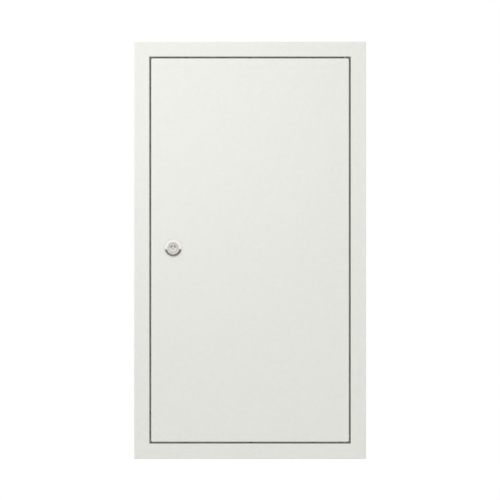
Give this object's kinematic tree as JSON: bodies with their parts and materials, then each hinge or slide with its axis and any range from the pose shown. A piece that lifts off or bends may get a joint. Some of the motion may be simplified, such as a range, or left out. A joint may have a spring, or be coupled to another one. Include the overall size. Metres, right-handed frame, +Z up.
{
  "type": "flush-mounted distribution enclosure",
  "caption": "Flush-mounted white sheet-steel enclosure with a collar frame, hinged door, quarter-turn lock, mounting rails, slotted covers and cable entries.",
  "frame": {"origin": "centre of the four wall fixing holes on the outside of the back panel", "axes": "+Z up, +Y out of the back into the wall, -Y towards the person in front of the door, +X to that person's right"},
  "size_m": [0.4, 0.116, 0.72],
  "materials": {
    "frame_paint": "traffic-white powder coat, fine texture",
    "door_paint": "traffic-white powder coat, fine texture",
    "cover_paint": "traffic-white powder coat, fine texture",
    "box_zinc": "hot-dip galvanised sheet with spangle",
    "plate_zinc": "galvanised sheet",
    "rail_zinc": "bright zinc plate",
    "screw_zinc": "zinc plate",
    "cam_zinc": "zinc plate",
    "pin_steel": "ground steel",
    "spring_steel": "drawn spring wire",
    "dark_screw": "black zinc",
    "brass": "drawn brass",
    "lock_nickel": "bright nickel plate",
    "insert_metal": "satin nickel plate on die-cast zinc",
    "grommet_rubber": "matte black rubber",
    "buffer_rubber": "matte black rubber",
    "bush_plastic": "black acetal",
    "strip_plastic": "light grey polystyrene",
    "pocket_plastic": "light grey polystyrene",
    "holder_blue": "blue polyamide",
    "holder_green": "green polyamide"
  },
  "bodies": {
    "enclosure": {"back_panel": "box_zinc", "side_walls": "box_zinc", "end_walls": "box_zinc", "mouth_ring": "box_zinc", "masonry_straps": "box_zinc", "strap_screws": "screw_zinc", "cable_plate_top": "plate_zinc", "cable_plate_bottom": "plate_zinc", "cable_plate_screws": "screw_zinc", "entry_grommets_top": "grommet_rubber", "entry_grommets_bottom": "grommet_rubber", "box_earth_stud": "brass", "box_earth_nut": "brass", "upright_studs": "screw_zinc", "upright_nuts": "screw_zinc", "rail_upright_left": "rail_zinc", "rail_upright_right": "rail_zinc", "din_rail_1": "rail_zinc", "din_rail_2": "rail_zinc", "din_rail_3": "rail_zinc", "din_rail_4": "rail_zinc", "din_rail_screws": "screw_zinc", "neutral_holders": "holder_blue", "neutral_bar": "brass", "neutral_screws": "screw_zinc", "earth_holders": "holder_green", "earth_bar": "brass", "earth_screws": "screw_zinc", "cover_posts": "screw_zinc", "cover_upper": "cover_paint", "cover_lower": "cover_paint", "cover_screws": "dark_screw", "blanking_strip": "strip_plastic", "front_frame": "frame_paint", "frame_screws": "screw_zinc", "door_buffers": "buffer_rubber", "frame_bush_top": "bush_plastic", "hinge_pin_bottom": "pin_steel"},
    "door": {"door_leaf": "door_paint", "door_stiffeners": "door_paint", "document_pocket": "pocket_plastic", "door_earth_stud": "brass", "door_earth_nut": "brass", "hinge_bush_top": "bush_plastic", "hinge_bush_bottom": "bush_plastic", "hinge_carrier": "rail_zinc", "hinge_spring": "spring_steel", "lock_body": "lock_nickel", "lock_gasket": "buffer_rubber", "lock_washer": "screw_zinc", "lock_nut": "screw_zinc"},
    "upper_pivot": {"hinge_pin_top": "pin_steel", "hinge_clip": "dark_screw"},
    "lock": {"lock_barrel": "insert_metal", "lock_cam": "cam_zinc", "cam_washer": "screw_zinc", "cam_screw": "dark_screw"}
  },
  "joints": [
    {"name": "door_swing", "type": "hinge", "parent": "enclosure", "child": "door", "pos_m": [0.164, -0.106, 0], "axis": [0, 0, 1], "range_deg": [0, 110]},
    {"name": "lock_turn", "type": "hinge", "parent": "door", "child": "lock", "pos_m": [-0.1325, -0.0932, 0.0036], "axis": [0, 1, 0], "range_deg": [0, 90]},
    {"name": "pivot_retract", "type": "slide", "parent": "door", "child": "upper_pivot", "axis": [0, 0, -1], "range_m": [0, 0.008], "stiffness_N_per_m": 400, "springref_m": -0.006, "deforming": ["hinge_spring"]}
  ]
}
